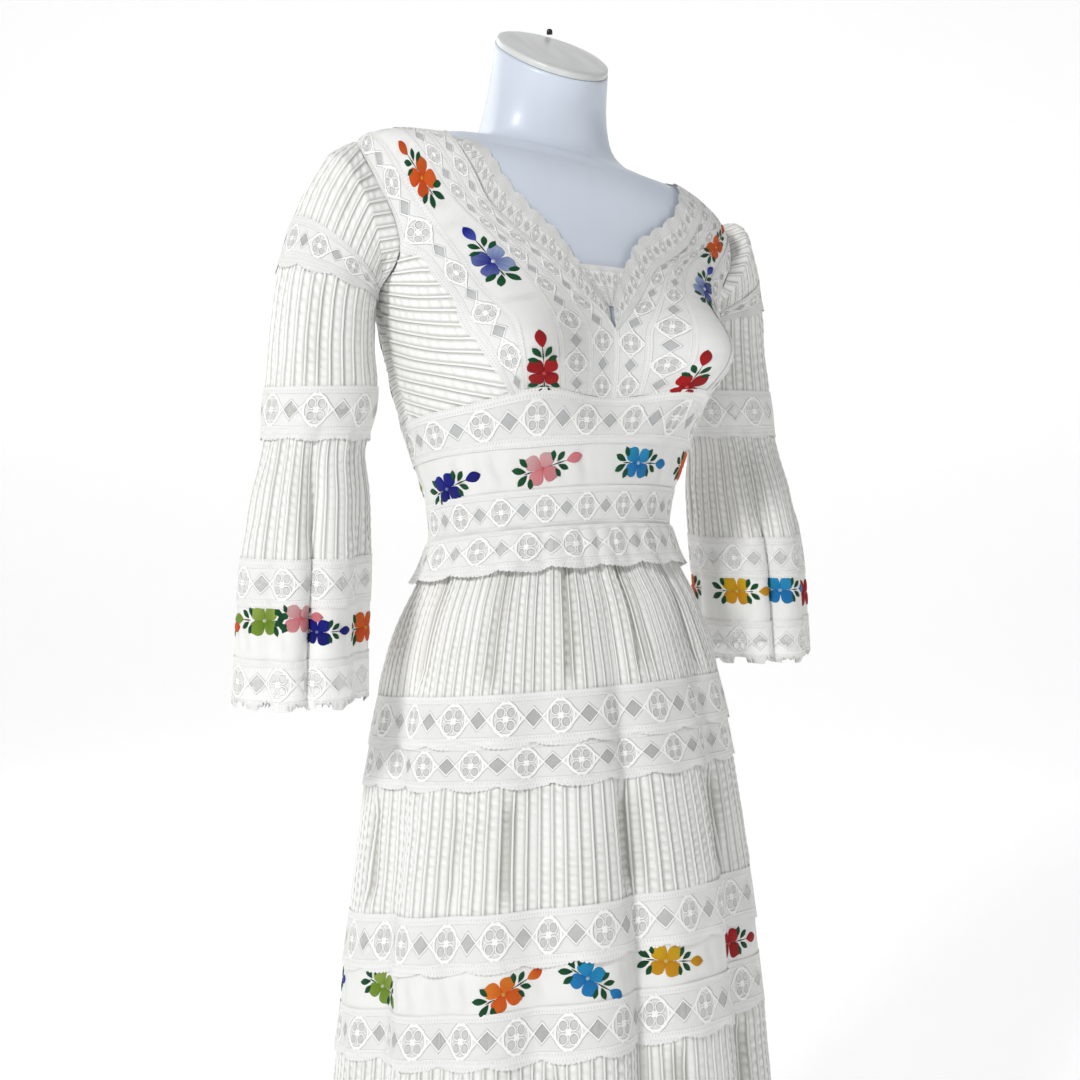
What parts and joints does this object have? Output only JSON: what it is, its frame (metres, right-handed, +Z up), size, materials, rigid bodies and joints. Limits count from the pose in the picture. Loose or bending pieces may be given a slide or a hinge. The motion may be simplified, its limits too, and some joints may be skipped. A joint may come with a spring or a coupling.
{
  "type": "mexican wedding dress on a dress form",
  "caption": "Long ivory cotton Mexican wedding dress with tucked panels, lace rows and embroidered flower bands, on a limbless dress form.",
  "frame": {"origin": "centre of the stand base's underside, on the floor", "axes": "+Z up, -Y the front of the dress, +X the wearer's left"},
  "size_m": [0.6641, 0.5106, 1.5327],
  "materials": {
    "cotton": "matt ivory cotton voile",
    "lace": "matt ivory cotton lace",
    "form_plastic": "gloss",
    "stand_steel": "satin",
    "dark_screw": "satin"
  },
  "bodies": {
    "root": {"cap_screw": "dark_screw", "centre_back": "cotton", "form_torso": "form_plastic", "hem_lace": "lace", "lace_inner_left": "lace", "lace_inner_right": "lace", "lace_outer_back_left": "lace", "lace_outer_back_right": "lace", "lace_outer_front_left": "lace", "lace_outer_front_right": "lace", "midriff_lace": "lace", "modesty_lace": "lace", "neck_cap": "form_plastic", "neck_lace_left": "lace", "neck_lace_right": "lace", "side_back_left": "cotton", "side_back_right": "cotton", "side_front_left": "cotton", "side_front_right": "cotton", "skirt_band": "cotton", "skirt_lace_a": "lace", "skirt_lace_b": "lace", "skirt_lace_c": "lace", "skirt_lace_d": "lace", "skirt_tier_1": "cotton", "skirt_tier_2": "cotton", "skirt_tier_3": "cotton", "sleeve_bell_band_left": "cotton", "sleeve_bell_band_right": "cotton", "sleeve_bell_lace_left": "lace", "sleeve_bell_lace_right": "lace", "sleeve_bell_left": "cotton", "sleeve_bell_right": "cotton", "sleeve_cap_left": "cotton", "sleeve_cap_right": "cotton", "sleeve_cuff_lace_left": "lace", "sleeve_cuff_lace_right": "lace", "sleeve_elbow_lace_left": "lace", "sleeve_elbow_lace_right": "lace", "sleeve_middle_left": "cotton", "sleeve_middle_right": "cotton", "sleeve_upper_lace_left": "lace", "sleeve_upper_lace_right": "lace", "stand_base": "stand_steel", "stand_pole": "stand_steel", "strap_band_left": "cotton", "strap_band_right": "cotton", "waist_band": "cotton", "waist_flounce": "lace", "waist_lace": "lace"}
  },
  "joints": []
}
